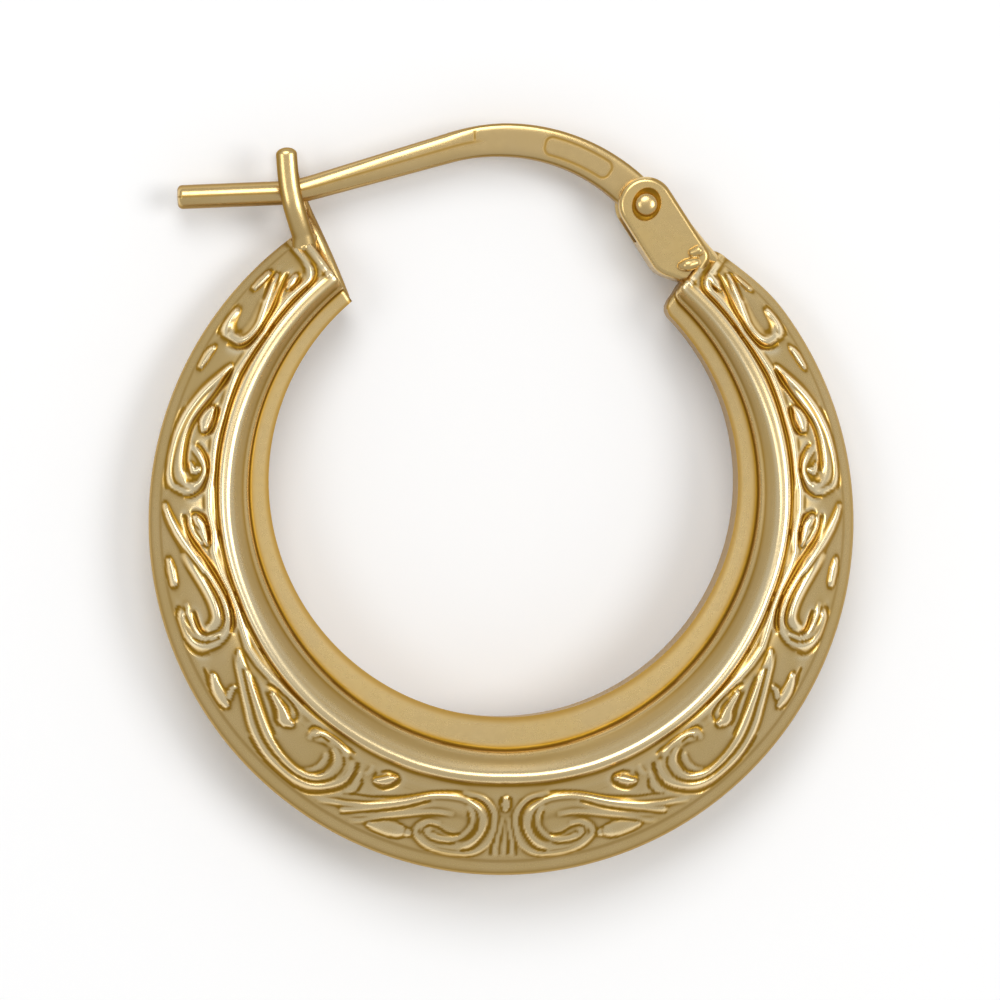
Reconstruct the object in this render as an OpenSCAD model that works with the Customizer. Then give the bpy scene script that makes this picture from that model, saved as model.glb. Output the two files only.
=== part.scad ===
// Creole hoop earring of yellow gold: an open crescent hoop with raised scrollwork on both
// faces, a riveted hinge at one end, an ear wire that swings from it, and a forked catch at
// the other end that takes the straight post of the wire.
// Millimetres. The hoop lies on its side as it would on a table, +Z is up, and the origin is
// at the middle of the footprint, on the table.

/* [Hoop outline] */
// Radius of the outer outline
outer_r = 10; // [9.6:0.1:10.4]
// Radius of the round opening
opening_r = 6.65; // [6.4:0.05:6.8]
// How far the opening sits from the hoop's centre towards the open top
opening_rise = 1.13; // [1:0.05:1.25]
// Angle of the end that carries the catch, from the +X axis
catch_end_angle = 124.5; // [122:0.5:126]
// Angle of the end that carries the hinge, from the +X axis
hinge_end_angle = 53; // [51:0.5:55]

/* [Hoop thickness] */
// Half thickness at the bead, at the heavy bottom of the hoop
bottom_half_depth = 1.9; // [1.6:0.1:2.2]
// How much of that half thickness is lost for each millimetre towards the open top
depth_taper = 0.06; // [0.05:0.005:0.065]
// Width of the moulding that turns across each end
end_border = 0.72; // [0.5:0.02:0.9]

/* [Scrollwork] */
// Height that the scrolls stand proud of the domed face
scroll_lift = 0.13; // [0.08:0.01:0.16]
// How deep the foot of a scroll is let into the face
scroll_foot = 0.12; // [0.1:0.01:0.2]

/* [Ear wire] */
// Radius of the straight round post that goes through the ear
post_r = 0.34; // [0.3:0.01:0.36]
// Radius of the arch over the ear, at the middle of the wire
arch_r = 5.3; // [5.2:0.05:5.4]
// Width of the wire at the top of the arch, in the plane of the hoop
arch_w = 0.95; // [0.8:0.05:1.05]
// Width of the wire where it meets the hinge
hinge_w = 1.08; // [0.9:0.02:1.16]

/* [Hinge] */
// Radius of the rivet's shank
rivet_r = 0.22; // [0.18:0.01:0.24]
// Running clearance of the eye round the rivet
eye_clearance = 0.03; // [0.02:0.01:0.05]
// Half of the space between the two ears
slot_half = 0.43; // [0.41:0.01:0.46]
// Thickness of one ear
ear_t = 0.35; // [0.3:0.01:0.38]

/* [Catch] */
// Radius of the wire of the two prongs
prong_r = 0.2; // [0.16:0.01:0.22]
// Distance of a prong's middle from the hoop's mid plane, where the post passes
prong_half_gap = 0.61; // [0.58:0.01:0.64]

/* [Hidden] */

gold = "#c9a45c";
pale_gold = "#d6b877";

// Names of the columns of the tables below
ACROSS = 0;
ANGLE = 0;
PLACE = 1;
WIDTH = 2;

// Section of a face, from the outer edge (0) to the edge of the opening (1). The height is
// a share of the half thickness at the bead.
section = [
    // across, height
    [0.000, 0.14],
    [0.022, 0.23],
    [0.055, 0.25],
    [0.085, 0.21],
    [0.110, 0.27],
    [0.200, 0.46],
    [0.310, 0.63],
    [0.420, 0.765],
    [0.530, 0.86],
    [0.575, 0.82],
    [0.605, 0.95],
    [0.627, 1.00],
    [0.650, 0.95],
    [0.690, 0.78],
    [0.735, 0.63],
    [0.785, 0.55],
    [0.805, 0.43],
    [0.835, 0.50],
    [0.960, 0.48],
    [1.000, 0.36]
];
bead_across = 0.627;
outer_share = 0.53;

// Scrolls of one half of a face, as centre lines that start at the tail. The angle is
// measured from the middle of the hoop's bottom, the place is that of the section table,
// and the width is half of the scroll's, in millimetres.
scrolls = [
    // angle, place, width
    [[29.0, 0.135, 0.04], [24.5, 0.235, 0.13], [20.0, 0.335, 0.19], [16.0, 0.405, 0.23],
     [12.0, 0.435, 0.24], [8.0, 0.425, 0.23], [5.6, 0.380, 0.20], [4.7, 0.310, 0.19],
     [5.3, 0.235, 0.19], [7.6, 0.190, 0.20], [10.3, 0.180, 0.20], [13.6, 0.205, 0.14]],
    [[64.0, 0.455, 0.04], [60.0, 0.405, 0.09], [56.0, 0.345, 0.13], [52.0, 0.280, 0.15],
     [48.0, 0.222, 0.17], [44.0, 0.186, 0.18], [40.0, 0.178, 0.19], [37.0, 0.205, 0.20],
     [34.6, 0.265, 0.20], [33.5, 0.340, 0.19], [34.1, 0.420, 0.17], [36.2, 0.478, 0.14],
     [39.0, 0.500, 0.12], [41.2, 0.478, 0.11], [40.7, 0.437, 0.12], [39.2, 0.446, 0.10]],
    [[92.6, 0.135, 0.05], [88.5, 0.235, 0.10], [84.5, 0.330, 0.14], [81.0, 0.395, 0.16],
     [77.5, 0.440, 0.17], [74.0, 0.455, 0.18], [71.0, 0.425, 0.17], [69.0, 0.360, 0.15],
     [68.4, 0.280, 0.15], [69.1, 0.212, 0.15], [71.0, 0.170, 0.15], [73.8, 0.168, 0.10]],
    [[119.4, 0.415, 0.05], [116.0, 0.355, 0.12], [112.0, 0.283, 0.17], [108.0, 0.228, 0.19],
     [104.0, 0.203, 0.19], [100.6, 0.206, 0.18], [98.0, 0.240, 0.15], [96.8, 0.300, 0.13],
     [96.7, 0.365, 0.13], [97.8, 0.420, 0.13], [100.0, 0.440, 0.14], [102.0, 0.395, 0.12],
     [103.3, 0.320, 0.05]],
    [[137.3, 0.220, 0.04], [134.5, 0.310, 0.11], [131.5, 0.385, 0.14], [129.0, 0.428, 0.15],
     [126.8, 0.430, 0.15], [125.2, 0.390, 0.14], [124.5, 0.322, 0.13], [124.7, 0.250, 0.13],
     [125.9, 0.190, 0.12], [128.3, 0.165, 0.08]]
];

// Seeds, drops and dashes between the scrolls of one half, in the same columns
seeds = [
    // angle, place, width
    [[17.6, 0.190, 0.08], [19.2, 0.190, 0.20], [21.5, 0.180, 0.20], [24.6, 0.155, 0.06]],
    [[22.6, 0.505, 0.05], [23.9, 0.475, 0.15], [25.6, 0.440, 0.15], [26.9, 0.420, 0.05]],
    [[46.6, 0.425, 0.07], [48.3, 0.440, 0.20], [51.0, 0.478, 0.14], [54.8, 0.490, 0.05]],
    [[56.4, 0.175, 0.07], [58.2, 0.170, 0.17], [60.3, 0.175, 0.14], [62.8, 0.175, 0.05]],
    [[79.0, 0.160, 0.05], [80.3, 0.155, 0.12], [81.8, 0.150, 0.12], [83.3, 0.150, 0.05]],
    [[90.9, 0.410, 0.07], [89.6, 0.425, 0.19], [87.6, 0.448, 0.15], [84.9, 0.482, 0.05]],
    [[107.2, 0.360, 0.06], [108.4, 0.378, 0.16], [110.0, 0.410, 0.17], [111.3, 0.432, 0.06]],
    [[117.0, 0.145, 0.06], [118.2, 0.145, 0.12], [119.6, 0.155, 0.11], [120.8, 0.170, 0.05]],
    [[133.0, 0.135, 0.06], [134.2, 0.132, 0.12], [135.6, 0.132, 0.12], [136.8, 0.140, 0.05]],
    [[137.4, 0.405, 0.05], [138.3, 0.395, 0.11], [139.6, 0.375, 0.05]],
    [[1.8, 0.120, 0.04], [1.9, 0.180, 0.08], [1.5, 0.260, 0.04]]
];

// Leaf and bead on the middle line of a face, in the same columns
middle_pieces = [
    // angle, place, width
    [[0, 0.125, 0.05], [0, 0.200, 0.10], [0, 0.300, 0.12], [0, 0.390, 0.05]],
    [[0, 0.415, 0.05], [0, 0.435, 0.15], [0, 0.465, 0.15], [0, 0.490, 0.05]]
];

bottom_angle = 270;
full_end_angle = 360 + hinge_end_angle;
bead_bottom = outer_r - bead_across * (outer_r - opening_r + opening_rise);
mid_half_depth = bottom_half_depth - depth_taper * bead_bottom;
rest_tilt = atan(depth_taper);
rest_lift = mid_half_depth * cos(rest_tilt);

ring_step = 5;
first_ring_gap = 7;
last_ring_gap = 6;
end_ring_places = [0, 0.08, 0.30, 0.45, 0.58, 0.80, 0.92];
mid_band_r = 0.88 * outer_r;
slope_step = 0.08;
joint_fn = 48;

rivet_at = [4.05, 8.97, 0];
arch_x = 0.05;
arch_at = [arch_x, rivet_at.y - sqrt(arch_r ^ 2 - (rivet_at.x - arch_x) ^ 2), 0];
arch_start = acos((rivet_at.x - arch_at.x) / arch_r);
arch_end = 106.5;
arch_step = 7.2;
last_arch_gap = 3;
bend_w = 2 * post_r + (arch_w - 2 * post_r) * 0.6;
bend_steps = 4;
wire_sides = 14;
squareness = 0.8;
kink_at = [-5.85, 9.3, 0];
post_tip = [-9.18, 9.16, 0];
post_tip_round = 0.14;
wire_half_depth = 0.37;
catch_fullness = 0.02;
catch_r = post_r + catch_fullness;
catch_end_r = post_r + catch_fullness / 10;
catch_stretch = 0.6;
kink_r = catch_r * 1.02;
eye_r = 0.62;
eye_half_depth = 0.4;
eye_bore_r = rivet_r + eye_clearance;

ear_half = slot_half + ear_t;
ear_hole_clearance = 0.015;
ear_hole_r = rivet_r + ear_hole_clearance;
slot_reach = 0.78;
slot_size = 4;
ear_tip_r = 0.78;
ear_middle = [4.85, 7.65];
ear_middle_r = 0.75;
ear_root = [5.15, 6.95];
ear_root_r = 0.55;
ear_outer_fillet = [5.5, 7.5];
ear_outer_fillet_r = 0.36;
dish_r = 0.42;
dish_depth = 0.12;
head_r = 0.32;
head_rise = 0.19;
head_gap = 0.015;
head_trim = 1.01;

prong_feet = [[-5.27, 7.72], [-5.62, 7.72]];
prong_knees = [[-5.51, 8.8], [-5.87, 8.8]];
prong_tips = [[-5.99, 10.38], [-6.19, 10.38]];
prong_foot_half_gap = 0.2;
knee_r = prong_r * 1.06;

arch_top = arch_at.y + arch_r + arch_w / 2;
middle_of_depth = (arch_top - outer_r) / 2;

// Point of the outline of the opening, on the ray at angle a from the hoop's centre
function opening_reach(a) =
    opening_rise * sin(a) + sqrt(opening_r ^ 2 - (opening_rise * cos(a)) ^ 2);

// Distance from the hoop's centre to the place across the band, at angle a
function reach(a, across) = outer_r + (opening_reach(a) - outer_r) * across;

// Half thickness of the hoop at the bead: the bead lies in one plane on each face
function half_depth(a) = mid_half_depth - depth_taper * reach(a, bead_across) * sin(a);

// The moulding turns across an end: its place for a point that lies so far from the end
function turned_place(gap) = 1 - (1 - outer_share) * gap / end_border;

// Distance to the nearer end, square to it
function gap_to_end(a, across) =
    reach(a, across) * sin(min(90, a - catch_end_angle, full_end_angle - a));

// Height of a face over the mid plane: full away from the ends, and at an end the height that
// the moulding has beyond its bead
function face_height(a, across) =
    half_depth(a) * min(
        lookup(across, section),
        lookup(max(bead_across, turned_place(gap_to_end(a, across))), section)
    );

function on_face(a, across, lift) =
    [reach(a, across) * cos(a), reach(a, across) * sin(a), face_height(a, across) + lift];

// Angles of the sections along the hoop, close together in the mouldings at the two ends
ring_angles = concat(
    [for (g = end_ring_places) catch_end_angle + degrees_of(g)],
    [for (a = [catch_end_angle + first_ring_gap : ring_step : full_end_angle - last_ring_gap]) a],
    [for (i = [len(end_ring_places) - 1 : -1 : 0]) full_end_angle - degrees_of(end_ring_places[i])]
);

// Angle that a length takes up at the middle of the band near an end
function degrees_of(gap) = gap / mid_band_r * 180 / PI;

// Closed tube of triangles round a list of rings, each with the same number of points
module skin(rings) {
    n = len(rings[0]);
    last = len(rings) - 1;
    polyhedron(
        points = [for (r = rings) each r],
        faces = concat(
            [[for (i = [n - 1 : -1 : 0]) i]],
            [for (k = [0 : last - 1], i = [0 : n - 1])
                [k * n + i, k * n + (i + 1) % n, (k + 1) * n + i]],
            [for (k = [0 : last - 1], i = [0 : n - 1])
                [k * n + (i + 1) % n, (k + 1) * n + (i + 1) % n, (k + 1) * n + i]],
            [[for (i = [0 : n - 1]) last * n + i]]
        )
    );
}

// The plain crescent with its rim, dome, bead, cove and inner band on both faces
module crescent() {
    skin([
        for (a = ring_angles)
            concat(
                [for (s = section) on_face(a, s[ACROSS], 0)],
                [for (i = [len(section) - 1 : -1 : 0]) mirrored(on_face(a, section[i][ACROSS], 0))]
            )
    ]);
}

function mirrored(p) = [p.x, p.y, -p.z];

function step_along(line, i) =
    let (a = line[max(0, i - 1)], b = line[min(len(line) - 1, i + 1)])
    on_face(bottom_angle + b[ANGLE], b[PLACE], 0) - on_face(bottom_angle + a[ANGLE], a[PLACE], 0);

// Ring of a scroll: two feet let into the face and two shoulders above it
function scroll_ring(line, i) =
    let (
        p = line[i],
        a = bottom_angle + p[ANGLE],
        at = on_face(a, p[PLACE], 0),
        along = step_along(line, i),
        side = [-along.y, along.x, 0] / norm([along.x, along.y]),
        slope = slope_across(a, p[PLACE], side)
    )
    [
        for (c = [[-1, -scroll_foot], [-0.5, scroll_lift], [0.5, scroll_lift], [1, -scroll_foot]])
            at + c[0] * p[WIDTH] * (side + [0, 0, slope]) + [0, 0, c[1]]
    ];

// Rise of the domed face for each millimetre along the direction given
function slope_across(a, across, side) =
    let (
        rise = face_height(a, across + slope_step) - face_height(a, across - slope_step),
        inward = rise / (reach(a, across - slope_step) - reach(a, across + slope_step))
    )
    -inward * (side.x * cos(a) + side.y * sin(a));

module scroll(line) {
    skin([for (i = [0 : len(line) - 1]) scroll_ring(line, i)]);
}

// Raised work of one face: each scroll and seed has its mirror image on the other side
module relief() {
    for (line = concat(scrolls, seeds)) {
        scroll(line);
        mirror([1, 0, 0]) scroll(line);
    }
    for (line = middle_pieces) scroll(line);
}

// The facets reach a little less than the full diameter, so the whole is brought to size
module cast_hoop() {
    resize([2 * outer_r, 0, 0], auto = true) union() {
        crescent();
        relief();
        mirror([0, 0, 1]) relief();
    }
}

// Outline of one ear of the hinge, seen square on
module ear_outline() {
    hull() {
        translate([rivet_at.x, rivet_at.y]) circle(r = ear_tip_r, $fn = joint_fn);
        translate(ear_middle) circle(r = ear_middle_r, $fn = joint_fn);
        translate(ear_root) circle(r = ear_root_r, $fn = joint_fn);
        translate(ear_outer_fillet) circle(r = ear_outer_fillet_r, $fn = joint_fn);
    }
}

// Two ears with the slot of the ear wire between them, drilled and dished for the rivet
module ears() {
    towards_root = atan2(ear_middle.y - rivet_at.y, ear_middle.x - rivet_at.x);
    difference() {
        translate([0, 0, -ear_half]) linear_extrude(2 * ear_half) ear_outline();
        translate(rivet_at) rotate([0, 0, towards_root])
            translate([slot_reach - slot_size, -slot_size / 2, -slot_half])
                cube([slot_size, slot_size, 2 * slot_half]);
        translate(rivet_at)
            cylinder(r = ear_hole_r, h = 4 * ear_half, center = true, $fn = joint_fn);
        for (s = [-1, 1])
            translate(rivet_at + [0, 0, s * ear_half])
                cylinder(r = dish_r, h = 2 * dish_depth, center = true, $fn = joint_fn);
    }
}

// Round wire from one point to the next, with its far end rounded by the radius given
module rod(from, to, r, end_round) {
    along = to - from;
    length = norm(along);
    translate(from) rotate([0, acos(along.z / length), atan2(along.y, along.x)])
        rotate_extrude($fn = joint_fn) {
            square([r, length]);
            if (r > end_round) square([r - end_round, length + end_round]);
            intersection() {
                translate([r - end_round, length]) circle(r = end_round, $fn = joint_fn);
                translate([r - end_round, 0]) square([end_round, length + end_round]);
            }
        }
}

// One prong of the catch: it leaves the hoop's end near the mid plane and stands off at the post
module prong(i) {
    side = 2 * i - 1;
    foot = [prong_feet[i].x, prong_feet[i].y, side * prong_foot_half_gap];
    knee = [prong_knees[i].x, prong_knees[i].y, side * prong_half_gap];
    tip = [prong_tips[i].x, prong_tips[i].y, side * prong_half_gap];
    rod(foot, knee, knee_r, knee_r);
    rod(knee, tip, prong_r, prong_r);
}

// Lays the upright working frame of the hoop on the table, on the bead of its lower face
module at_rest() {
    translate([0, -middle_of_depth, rest_lift]) rotate([-rest_tilt, 0, 0]) children();
}

module hoop() {
    color(gold) at_rest() {
        cast_hoop();
        ears();
        for (i = [0, 1]) prong(i);
    }
}

// Shank with a domed head at each end, sitting in the dishes of the ears
module rivet() {
    seat = ear_half - dish_depth + head_gap;
    ball_r = (head_r ^ 2 + head_rise ^ 2) / (2 * head_rise);
    color(pale_gold) at_rest() translate(rivet_at) {
        cylinder(r = rivet_r, h = 2 * seat, center = true, $fn = joint_fn);
        for (s = [0, 1])
            mirror([0, 0, s]) intersection() {
                translate([0, 0, seat])
                    cylinder(r = head_r * head_trim, h = 2 * head_rise, $fn = joint_fn);
                translate([0, 0, seat + head_rise - ball_r]) sphere(r = ball_r, $fn = joint_fn);
            }
    }
}

// Centre line of the arm of the ear wire from the kink to the hinge: place and width
arm_line = concat(
    [for (s = [0 : 1 / bend_steps : 1])
        [kink_at + s * (on_arch(arch_end) - kink_at), 2 * post_r + s * (bend_w - 2 * post_r)]],
    [for (a = [arch_end - arch_step : -arch_step : arch_start + last_arch_gap])
        [on_arch(a), width_on_arch(a)]],
    [[on_arch(arch_start), width_on_arch(arch_start)]]
);

function on_arch(a) = arch_at + arch_r * [cos(a), sin(a), 0];

function width_on_arch(a) = lookup(a, [[arch_start, hinge_w], [90, arch_w], [arch_end, bend_w]]);

// Section of the arm: flattened on the sides that face along the hinge axis
function arm_ring(i) =
    let (
        a = arm_line[max(0, i - 1)][0],
        b = arm_line[min(len(arm_line) - 1, i + 1)][0],
        along = (b - a) / norm(b - a),
        side = [along.y, -along.x, 0],
        half_w = arm_line[i][1] / 2,
        depth = post_r + (wire_half_depth - post_r) * min(1, i / bend_steps)
    )
    [
        for (k = [0 : wire_sides - 1])
            let (turn = k * 360 / wire_sides)
            arm_line[i][0]
                + half_w * squared(cos(turn)) * side
                + [0, 0, depth * squared(sin(turn))]
    ];

// Swells a round section a little towards a square one
function squared(x) = sign(x) * abs(x) ^ squareness;

// Straight round post with a softened tip, a little fuller where the catch grips it
module post() {
    along = (post_tip - kink_at) / norm(post_tip - kink_at);
    rod(kink_at, post_tip - post_tip_round * along, post_r, post_tip_round);
    translate(kink_at) rotate([0, 90, atan2(along.y, along.x)])
        cylinder(r1 = catch_r, r2 = catch_end_r, h = catch_stretch, $fn = joint_fn);
}

module ear_wire() {
    color(gold) at_rest() difference() {
        union() {
            post();
            translate(kink_at) sphere(r = kink_r, $fn = joint_fn);
            skin([for (i = [0 : len(arm_line) - 1]) arm_ring(i)]);
            translate(rivet_at)
                cylinder(r = eye_r, h = 2 * eye_half_depth, center = true, $fn = joint_fn);
        }
        translate(rivet_at)
            cylinder(r = eye_bore_r, h = 4 * eye_half_depth, center = true, $fn = joint_fn);
    }
}

hoop();
rivet();
ear_wire();
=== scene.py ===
import math
import bpy
import numpy as np
from mathutils import Matrix, Vector


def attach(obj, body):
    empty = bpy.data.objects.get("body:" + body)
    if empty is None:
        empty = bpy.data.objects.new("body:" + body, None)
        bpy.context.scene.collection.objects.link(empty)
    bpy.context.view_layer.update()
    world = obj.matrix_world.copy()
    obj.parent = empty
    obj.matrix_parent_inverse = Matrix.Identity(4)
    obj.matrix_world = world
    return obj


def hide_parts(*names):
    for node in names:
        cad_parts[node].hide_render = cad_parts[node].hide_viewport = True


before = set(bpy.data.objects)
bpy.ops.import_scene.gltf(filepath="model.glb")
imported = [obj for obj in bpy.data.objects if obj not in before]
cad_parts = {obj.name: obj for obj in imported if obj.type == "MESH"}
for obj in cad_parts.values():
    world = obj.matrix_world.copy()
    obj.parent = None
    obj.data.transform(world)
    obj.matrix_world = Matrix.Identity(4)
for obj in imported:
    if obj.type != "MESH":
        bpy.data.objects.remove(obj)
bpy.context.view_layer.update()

mm = 0.001


# Pieces are shaped upright in millimetres, with the hoop's centre at 0,0 and the ear wire at the
# top, then laid on the table as the solids are: tilted onto the bead of the lower face.
lying = {
    "outer": 10.0,
    "opening": 6.65,
    "openingRise": 1.13,  # the opening's centre over the hoop's
    "beadAcross": 0.627,  # share of the way from the outer edge to the opening
    "bottomHalfDepth": 1.9,
    "taper": 0.06,
    "topOfArch": 11.26793,
    "seenFromLeft": 4.6,  # degrees between the photo's view and the hoop's normal
}
bottomAngle = 270
bottomWidth = lying["outer"] - lying["opening"] + lying["openingRise"]
beadBottom = lying["outer"] - lying["beadAcross"] * bottomWidth
midHalfDepth = lying["bottomHalfDepth"] - lying["taper"] * beadBottom
restTilt = math.atan(lying["taper"])
restLift = midHalfDepth * math.cos(restTilt)
middleOfHeight = (lying["topOfArch"] - lying["outer"]) / 2
toRest = (
    Matrix.Scale(mm, 4)
    @ Matrix.Translation((0, -middleOfHeight, restLift))
    @ Matrix.Rotation(-restTilt, 4, "X")
)


def openingReach(angle):
    rise = lying["openingRise"]
    return rise * np.sin(angle) + np.sqrt(lying["opening"] ** 2 - (rise * np.cos(angle)) ** 2)


def bandWidth(angle):  # from the outer edge to the opening
    return lying["outer"] - openingReach(angle)


def reach(angle, across):
    return lying["outer"] - bandWidth(angle) * across


def halfDepth(angle):
    return midHalfDepth - lying["taper"] * reach(angle, lying["beadAcross"]) * np.sin(angle)


def smoothStep(low, high, value):
    share = np.clip((value - low) / (high - low), 0, 1)
    return share * share * (3 - 2 * share)


def hump(low, full, last, high, value):  # rises from low to full, falls from last to high
    return smoothStep(low, full, value) * (1 - smoothStep(last, high, value))


def bell(place, width):
    return np.exp(-(place / width) ** 2)


# Helpers for modelling
def nothingSelected():
    if bpy.context.mode != "OBJECT":
        bpy.ops.object.mode_set(mode="OBJECT")
    bpy.ops.object.select_all(action="DESELECT")


def onlySelected(piece):
    nothingSelected()
    piece.select_set(True)
    bpy.context.view_layer.objects.active = piece


def named(name):
    piece = bpy.context.active_object
    piece.name = name
    piece.data.name = name
    return piece


def placeInMesh(piece):
    onlySelected(piece)
    bpy.ops.object.transform_apply(location=True, rotation=True, scale=True)


def applyModifier(piece, kind, **settings):
    onlySelected(piece)
    modifier = piece.modifiers.new(kind.lower(), kind)
    for key, value in settings.items():
        setattr(modifier, key, value)
    bpy.ops.object.modifier_apply(modifier=modifier.name)


def bevelled(piece, width, segments, sharperThan):
    applyModifier(piece, "BEVEL", width=width, segments=segments, limit_method="ANGLE",
                  angle_limit=math.radians(sharperThan))


def cutAway(piece, cutter):
    applyModifier(piece, "BOOLEAN", operation="DIFFERENCE", object=cutter, solver="EXACT")
    bpy.data.objects.remove(cutter, do_unlink=True)


def closedAndOutward(piece, merge=1e-4):
    onlySelected(piece)
    bpy.ops.object.mode_set(mode="EDIT")
    bpy.ops.mesh.select_all(action="SELECT")
    bpy.ops.mesh.remove_doubles(threshold=merge)
    bpy.ops.mesh.normals_make_consistent(inside=False)
    bpy.ops.object.mode_set(mode="OBJECT")


def layDown(piece, body, finish, angle):
    placeInMesh(piece)
    piece.data.transform(toRest)
    piece.data.materials.clear()
    piece.data.materials.append(finish)
    bpy.ops.object.shade_smooth_by_angle(angle=math.radians(angle))
    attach(piece, body)


def roundRod(name, radius, length, spot, sides=48):  # along the depth of the hoop
    nothingSelected()
    bpy.ops.mesh.primitive_cylinder_add(vertices=sides, radius=radius, depth=length, location=(*spot, 0))
    rod = named(name)
    placeInMesh(rod)
    return rod


def pointsOf(piece):
    spots = np.empty(len(piece.data.vertices) * 3)
    piece.data.vertices.foreach_get("co", spots)
    return spots.reshape(-1, 3)


def movePoints(piece, spots):
    piece.data.vertices.foreach_set("co", spots.ravel())
    piece.data.update()


def addTone(piece, name, values):
    piece.data.attributes.new(name, "FLOAT", "POINT").data.foreach_set("value", values.ravel())


def sheetOfPoints(name, points):  # rows x columns x 3
    rows, columns = points.shape[:2]
    nothingSelected()
    bpy.ops.mesh.primitive_grid_add(x_subdivisions=columns - 1, y_subdivisions=rows - 1, size=2)
    piece = named(name)
    movePoints(piece, points)
    return piece


# Finishes
class Wire:
    def __init__(self, board, socket):
        self.board = board
        self.socket = socket

    def math(self, operation, *values):
        return self.board.node("ShaderNodeMath", {"operation": operation}, dict(enumerate(values)))

    def __add__(self, other):
        return self.math("ADD", self, other)

    def __sub__(self, other):
        return self.math("SUBTRACT", self, other)

    def __rsub__(self, other):
        return self.math("SUBTRACT", other, self)

    def __mul__(self, other):
        return self.math("MULTIPLY", self, other)

    __radd__ = __add__
    __rmul__ = __mul__

    def clamped(self):
        return self.math("MINIMUM", self.math("MAXIMUM", self, 0.0), 1.0)


class Board:
    def __init__(self, name):
        self.material = bpy.data.materials.new(name)
        self.material.use_nodes = True
        self.tree = self.material.node_tree
        self.tree.nodes.clear()

    def node(self, kind, settings=None, sockets=None, out=0):
        made = self.tree.nodes.new(kind)
        for key, value in (settings or {}).items():
            setattr(made, key, value)
        for key, value in (sockets or {}).items():
            if isinstance(value, Wire):
                self.tree.links.new(value.socket, made.inputs[key])
            else:
                made.inputs[key].default_value = value
        return Wire(self, made.outputs[out]) if len(made.outputs) else None

    def objectPlace(self):
        return self.node("ShaderNodeTexCoord", out=3)

    def tone(self, name):
        return self.node("ShaderNodeAttribute", {"attribute_name": name}, out=2)

    def mixed(self, share, first, second):  # sockets 0, 6 and 7 are a colour mix's factor, A and B
        return self.node("ShaderNodeMix", {"data_type": "RGBA"}, {0: share, 6: first, 7: second}, out=2)

    def noise(self, place, scale, detail, roughness):
        return self.node("ShaderNodeTexNoise", None,
                         {"Vector": place, "Scale": scale, "Detail": detail, "Roughness": roughness})

    def shown(self, shader):
        self.node("ShaderNodeOutputMaterial", None, {"Surface": shader})
        return self.material


def rgb(red, green, blue):
    return (red, green, blue, 1.0)


# Each gold: a pale and a deep colour mixed by noise, a dark groove colour laid on as painted shade, and a
# pale ridge colour laid on as painted highlight
goldLooks = {
    "castGold": {
        "pale": rgb(0.79, 0.585, 0.285),
        "deep": rgb(0.70, 0.495, 0.19),
        "groove": rgb(0.33, 0.17, 0.006),
        "ridge": rgb(0.96, 0.81, 0.52),
        "grooveAmount": 0.95,
        "ridgeAmount": 0.85,
        "roughness": 0.19,
        "waves": 0.35,
        "scratches": 0.04,
    },
    "wireGold": {
        "pale": rgb(0.79, 0.585, 0.29),
        "deep": rgb(0.70, 0.495, 0.20),
        "groove": rgb(0.31, 0.16, 0.006),
        "ridge": rgb(0.95, 0.82, 0.54),
        "grooveAmount": 0.9,
        "ridgeAmount": 0.6,
        "roughness": 0.17,
        "waves": 0.25,
        "scratches": 0.08,
    },
}

goldGrain = {
    # scale, detail and roughness of each noise
    "cloud": (420.0, 4.0, 0.55),
    "speck": (5200.0, 3.0, 0.6),
    "hair": (1.0, 3.0, 0.65),
    "crossingHair": (1.0, 2.0, 0.6),
    # turn and stretch of the two sets of hair lines
    "hairRun": (0.35, (700.0, 9000.0, 2500.0)),
    "crossingRun": (-0.9, (800.0, 12000.0, 2500.0)),
    "cloudGain": 1.6,
    "cloudStart": 0.3,
    "cloudRoughness": 0.10,
    "speckRoughness": 0.06,
    "grooveRoughness": 0.16,
    "speckHeight": 0.05,
    "bumpStrength": 0.22,
    "bumpDistance": 0.00003,
}


def hairLines(board, place, run, noise):
    turn, stretch = goldGrain[run]
    stretched = board.node("ShaderNodeMapping", {"vector_type": "POINT"},
                           {"Vector": place, "Rotation": (0.0, 0.0, turn), "Scale": stretch})
    return board.noise(stretched, *goldGrain[noise])


def goldFinish(name):
    look, grain = goldLooks[name], goldGrain
    board = Board(name)
    place = board.objectPlace()
    groove = board.tone("groove")
    ridge = board.tone("ridge")
    cloud = board.noise(place, *grain["cloud"])
    speck = board.noise(place, *grain["speck"])
    hair = hairLines(board, place, "hairRun", "hair") + hairLines(board, place, "crossingRun", "crossingHair")
    clouded = (cloud * grain["cloudGain"] - grain["cloudStart"]).clamped()
    toned = board.mixed(clouded, look["pale"], look["deep"])
    # painted highlight from the ridge tone, then painted shade from the groove tone
    highlighted = board.mixed((ridge * look["ridgeAmount"]).clamped(), toned, look["ridge"])
    colour = board.mixed((groove * look["grooveAmount"]).clamped(), highlighted, look["groove"])
    rough = (look["roughness"] + cloud * grain["cloudRoughness"] + speck * grain["speckRoughness"]
             + groove * grain["grooveRoughness"])
    surface = cloud * look["waves"] + speck * grain["speckHeight"] + hair * look["scratches"]
    bump = board.node("ShaderNodeBump", None, {
        "Strength": grain["bumpStrength"], "Distance": grain["bumpDistance"], "Height": surface})
    shader = board.node("ShaderNodeBsdfPrincipled", None, {
        "Base Color": colour, "Metallic": 1.0, "Roughness": rough.clamped(), "Normal": bump})
    return board.shown(shader)


castGold = goldFinish("castGold")
wireGold = goldFinish("wireGold")
print("finishes made")


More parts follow.
